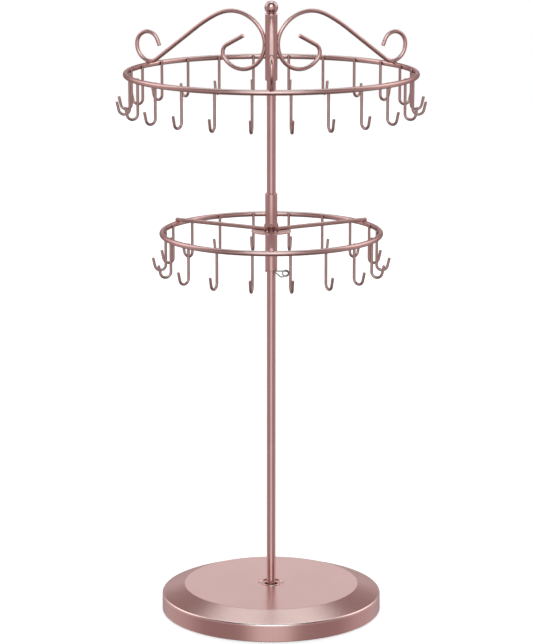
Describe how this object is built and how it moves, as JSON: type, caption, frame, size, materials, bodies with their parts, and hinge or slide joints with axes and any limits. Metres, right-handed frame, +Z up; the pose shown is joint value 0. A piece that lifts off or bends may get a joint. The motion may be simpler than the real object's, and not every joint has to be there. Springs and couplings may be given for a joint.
{
  "type": "necklace holder",
  "caption": "Two-tier turning necklace holder: a round weighted base, a pole, and two wire rings of J-hooks, the upper ring with scrolls.",
  "frame": {"origin": "middle of the face that the stand rests on, under the pole", "axes": "+Z up along the pole, -Y the front as pictured, +X to the viewer's right"},
  "size_m": [0.2384, 0.243, 0.486],
  "materials": {
    "rose_gold_base": "satin rose gold metallic lacquer on pressed steel",
    "rose_gold_tube": "satin rose gold metallic lacquer on rod and tube",
    "rose_gold_wire": "satin rose gold metallic lacquer on bent wire",
    "cast_iron": "rough cast",
    "foam_pad": "matt closed-cell foam",
    "zinc_steel": "zinc plated",
    "spring_steel": "bare drawn wire"
  },
  "bodies": {
    "stand": {"base_shell": "rose_gold_base", "base_weight": "cast_iron", "base_pad": "foam_pad", "base_screw": "zinc_steel", "pole": "rose_gold_tube"},
    "upper_tier": {"upper_sleeve": "rose_gold_tube", "finial": "rose_gold_tube", "upper_ring": "rose_gold_wire", "scroll_front": "rose_gold_wire", "scroll_right": "rose_gold_wire", "scroll_left": "rose_gold_wire", "upper_hook_01": "rose_gold_wire", "upper_hook_02": "rose_gold_wire", "upper_hook_03": "rose_gold_wire", "upper_hook_04": "rose_gold_wire", "upper_hook_05": "rose_gold_wire", "upper_hook_06": "rose_gold_wire", "upper_hook_07": "rose_gold_wire", "upper_hook_08": "rose_gold_wire", "upper_hook_09": "rose_gold_wire", "upper_hook_10": "rose_gold_wire", "upper_hook_11": "rose_gold_wire", "upper_hook_12": "rose_gold_wire", "upper_hook_13": "rose_gold_wire", "upper_hook_14": "rose_gold_wire", "upper_hook_15": "rose_gold_wire", "upper_hook_16": "rose_gold_wire", "upper_hook_17": "rose_gold_wire", "upper_hook_18": "rose_gold_wire", "upper_hook_19": "rose_gold_wire", "upper_hook_20": "rose_gold_wire", "upper_hook_21": "rose_gold_wire", "upper_hook_22": "rose_gold_wire", "upper_hook_23": "rose_gold_wire", "upper_hook_24": "rose_gold_wire"},
    "lower_tier": {"lower_sleeve": "rose_gold_tube", "hub_plate": "rose_gold_tube", "lower_ring": "rose_gold_wire", "spoke_front": "rose_gold_wire", "spoke_right": "rose_gold_wire", "spoke_left": "rose_gold_wire", "lower_hook_01": "rose_gold_wire", "lower_hook_02": "rose_gold_wire", "lower_hook_03": "rose_gold_wire", "lower_hook_04": "rose_gold_wire", "lower_hook_05": "rose_gold_wire", "lower_hook_06": "rose_gold_wire", "lower_hook_07": "rose_gold_wire", "lower_hook_08": "rose_gold_wire", "lower_hook_09": "rose_gold_wire", "lower_hook_10": "rose_gold_wire", "lower_hook_11": "rose_gold_wire", "lower_hook_12": "rose_gold_wire", "lower_hook_13": "rose_gold_wire", "lower_hook_14": "rose_gold_wire", "lower_hook_15": "rose_gold_wire", "lower_hook_16": "rose_gold_wire", "lower_hook_17": "rose_gold_wire", "lower_hook_18": "rose_gold_wire"},
    "clip": {"support_clip": "spring_steel"}
  },
  "joints": [
    {"name": "upper_tier_spin", "type": "hinge", "parent": "stand", "child": "upper_tier", "pos_m": [0, 0, 0.43], "axis": [0, 0, 1], "continuous": true},
    {"name": "lower_tier_spin", "type": "hinge", "parent": "stand", "child": "lower_tier", "pos_m": [0, 0, 0.3055], "axis": [0, 0, 1], "continuous": true},
    {"name": "clip_pull", "type": "slide", "parent": "stand", "child": "clip", "axis": [1, 0, 0], "range_m": [0, 0.012]}
  ]
}
